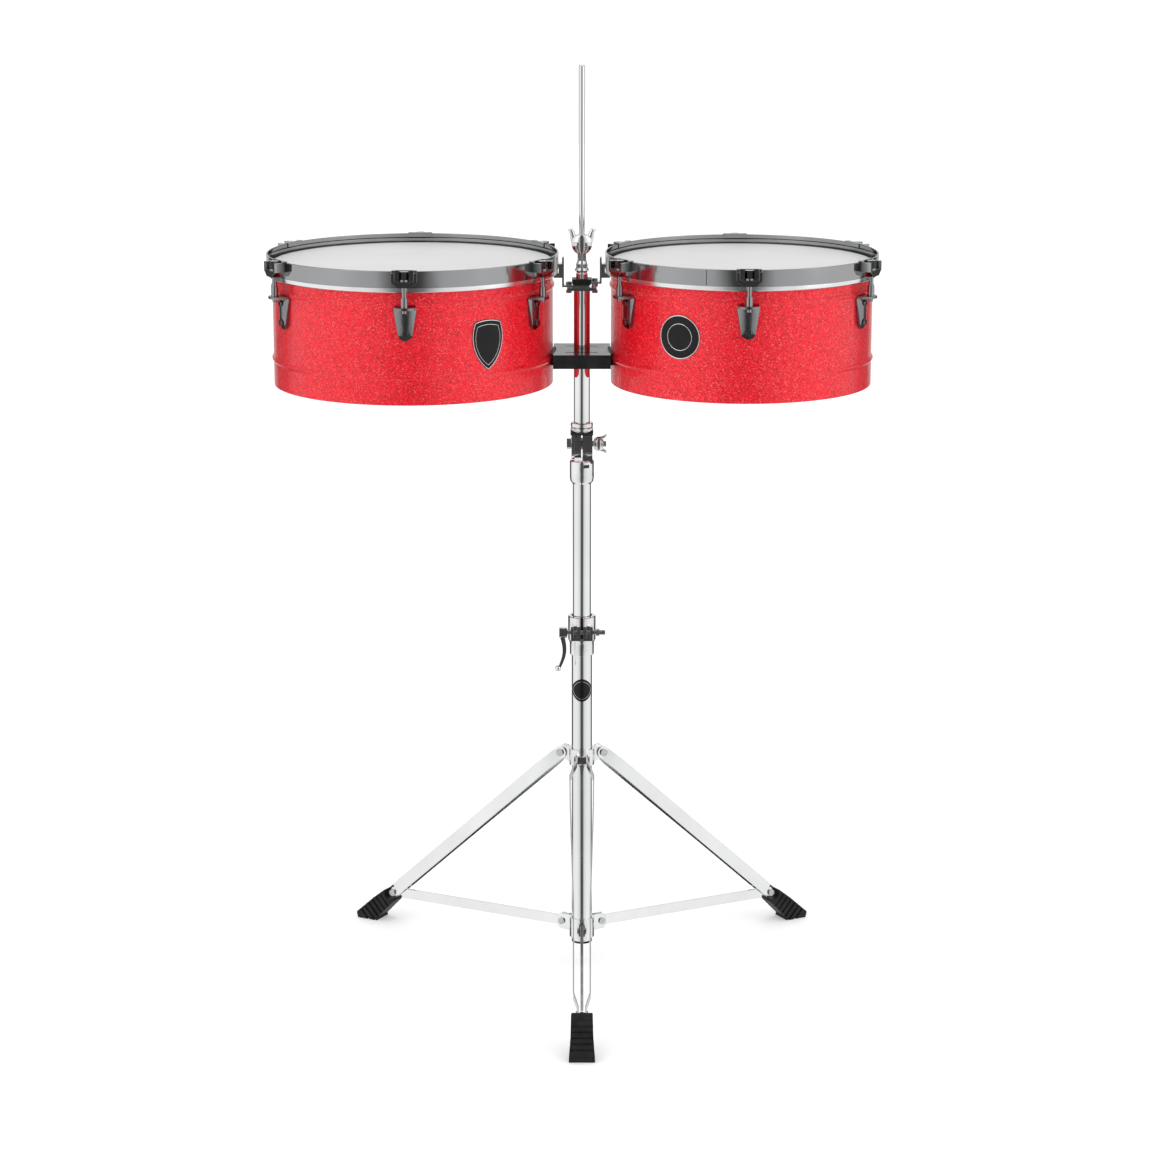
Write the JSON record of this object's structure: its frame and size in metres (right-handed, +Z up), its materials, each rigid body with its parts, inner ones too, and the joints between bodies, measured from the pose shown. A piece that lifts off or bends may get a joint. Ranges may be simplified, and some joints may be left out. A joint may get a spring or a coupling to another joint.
{
  "type": "timbales on a stand",
  "caption": "Pair of open-bottomed metal drums with tension rods, on a bracket with a tilting post, a height clamp and a folding tripod stand with rubber feet.",
  "frame": {"origin": "centre of the footprint box, on the floor; the mast's axis stands at x = 12.5 mm, y = 81.4 mm", "axes": "+Z up along the mast, +X towards the smaller drum, +Y away from the front leg"},
  "size_m": [0.8209, 0.5809, 1.252],
  "materials": {
    "shell_red": "sparkle lacquer",
    "head_film": "glossy film",
    "flesh_ring": "satin",
    "hoop_nickel": "black nickel plate",
    "lug_nickel": "black nickel plate on a casting",
    "rod_nickel": "black nickel plate",
    "chrome_tube": "bright plate",
    "chrome_cast": "bright plate on a casting",
    "chrome_strip": "bright plate on flat bar",
    "steel_bolt": "zinc plate",
    "black_block": "satin moulded",
    "black_rubber": "ribbed moulded",
    "black_nylon": "moulded",
    "badge_black": "printed foil"
  },
  "bodies": {
    "leg_collar": {"leg_bracket": "chrome_cast"},
    "collar_screw": {"leg_clamp_screw": "chrome_cast"},
    "base_tube": {"lower_tube": "chrome_tube", "tube_badge": "badge_black", "tube_plug": "black_nylon", "lower_bracket": "chrome_cast", "brace_pins": "steel_bolt", "height_clamp": "chrome_cast", "height_clamp_bolt": "steel_bolt"},
    "height_lever": {"height_clamp_lever": "chrome_cast"},
    "mast_bush": {"height_bush": "black_nylon"},
    "upper_mast": {"upper_tube": "chrome_tube", "tilter_lower": "chrome_cast"},
    "drums": {"left_shell": "shell_red", "left_head": "head_film", "left_flesh_hoop": "flesh_ring", "left_hoop": "hoop_nickel", "left_claws": "hoop_nickel", "left_tension_rods": "rod_nickel", "left_lugs": "lug_nickel", "left_lug_hardware": "rod_nickel", "left_badge": "badge_black", "right_shell": "shell_red", "right_head": "head_film", "right_flesh_hoop": "flesh_ring", "right_hoop": "hoop_nickel", "right_claws": "hoop_nickel", "right_tension_rods": "rod_nickel", "right_lugs": "lug_nickel", "right_lug_hardware": "rod_nickel", "right_badge": "badge_black", "mount_pads": "black_rubber", "mount_bolts": "steel_bolt", "bracket_block": "black_block", "block_screw": "steel_bolt", "post": "chrome_tube", "clamp_plate": "chrome_strip", "left_hoop_hook": "chrome_strip", "right_hoop_hook": "chrome_strip", "hook_bolts": "steel_bolt", "bell_base": "black_nylon", "bell_stem": "chrome_cast", "tilter_upper": "chrome_cast", "tilter_washer": "black_nylon", "tilter_bolt": "steel_bolt"},
    "tilter_nut": {"tilter_wing_nut": "chrome_cast"},
    "bell_nut": {"bell_wing_nut": "chrome_cast"},
    "bell_arm": {"bell_rod": "chrome_tube"},
    "front_brace": {"front_brace": "chrome_strip"},
    "front_leg": {"front_leg": "chrome_strip", "front_leg_rivets": "steel_bolt", "front_foot": "black_rubber"},
    "right_brace": {"right_brace": "chrome_strip"},
    "right_leg": {"right_leg": "chrome_strip", "right_leg_rivets": "steel_bolt", "right_foot": "black_rubber"},
    "left_brace": {"left_brace": "chrome_strip"},
    "left_leg": {"left_leg": "chrome_strip", "left_leg_rivets": "steel_bolt", "left_foot": "black_rubber"}
  },
  "joints": [
    {"name": "tripod_fold", "type": "slide", "parent": "leg_collar", "child": "base_tube", "axis": [0, 0, 1], "range_m": [0, 0.1495]},
    {"name": "collar_screw_turn", "type": "hinge", "parent": "leg_collar", "child": "collar_screw", "pos_m": [0.0125, 0.1214, 0.2995], "axis": [0, 1, 0], "continuous": true},
    {"name": "height_lever_turn", "type": "hinge", "parent": "base_tube", "child": "height_lever", "pos_m": [-0.0135, 0.0629, 0.481], "axis": [1, 0, 0], "continuous": true},
    {"name": "mast_swivel", "type": "hinge", "parent": "base_tube", "child": "mast_bush", "pos_m": [0.0125, 0.0814, 0.485], "axis": [0, 0, 1], "continuous": true},
    {"name": "mast_height", "type": "slide", "parent": "mast_bush", "child": "upper_mast", "axis": [0, 0, 1], "range_m": [-0.178, 0.15]},
    {"name": "drum_tilt", "type": "hinge", "parent": "upper_mast", "child": "drums", "pos_m": [0.0125, 0.0814, 0.741], "axis": [1, 0, 0], "range_deg": [-45, 45]},
    {"name": "tilter_nut_turn", "type": "hinge", "parent": "drums", "child": "tilter_nut", "pos_m": [0.0345, 0.0814, 0.741], "axis": [1, 0, 0], "continuous": true},
    {"name": "bell_nut_turn", "type": "hinge", "parent": "drums", "child": "bell_nut", "pos_m": [0.0125, 0.0814, 1.01], "axis": [0, 0, 1], "continuous": true},
    {"name": "bell_rod_height", "type": "slide", "parent": "drums", "child": "bell_arm", "axis": [0, 0, 1], "range_m": [-0.007, 0.015]},
    {"name": "front_brace_fold", "type": "hinge", "parent": "base_tube", "child": "front_brace", "pos_m": [0.0125, 0.0514, 0.053], "axis": [1, 0, 0], "range_deg": [0, 87.14]},
    {"name": "front_leg_fold", "type": "hinge", "parent": "front_brace", "child": "front_leg", "pos_m": [0.0125, -0.23352, 0.04406], "axis": [1, 0, 0], "range_deg": [-40.04, 0]},
    {"name": "right_brace_fold", "type": "hinge", "parent": "base_tube", "child": "right_brace", "pos_m": [0.03848, 0.0964, 0.053], "axis": [-0.5, 0.866, 0], "range_deg": [0, 87.14]},
    {"name": "right_leg_fold", "type": "hinge", "parent": "right_brace", "child": "right_leg", "pos_m": [0.28523, 0.23886, 0.04406], "axis": [-0.5, 0.866, 0], "range_deg": [-40.04, 0]},
    {"name": "left_brace_fold", "type": "hinge", "parent": "base_tube", "child": "left_brace", "pos_m": [-0.01348, 0.0964, 0.053], "axis": [-0.5, -0.866, 0], "range_deg": [0, 87.14]},
    {"name": "left_leg_fold", "type": "hinge", "parent": "left_brace", "child": "left_leg", "pos_m": [-0.26023, 0.23886, 0.04406], "axis": [-0.5, -0.866, 0], "range_deg": [-40.04, 0]}
  ],
  "couplings": [
    {"joint": "front_brace_fold", "follows": "tripod_fold", "rad_per_m": 10.171},
    {"joint": "front_leg_fold", "follows": "tripod_fold", "rad_per_m": -4.6726},
    {"joint": "right_brace_fold", "follows": "tripod_fold", "rad_per_m": 10.171},
    {"joint": "right_leg_fold", "follows": "tripod_fold", "rad_per_m": -4.6726},
    {"joint": "left_brace_fold", "follows": "tripod_fold", "rad_per_m": 10.171},
    {"joint": "left_leg_fold", "follows": "tripod_fold", "rad_per_m": -4.6726}
  ]
}
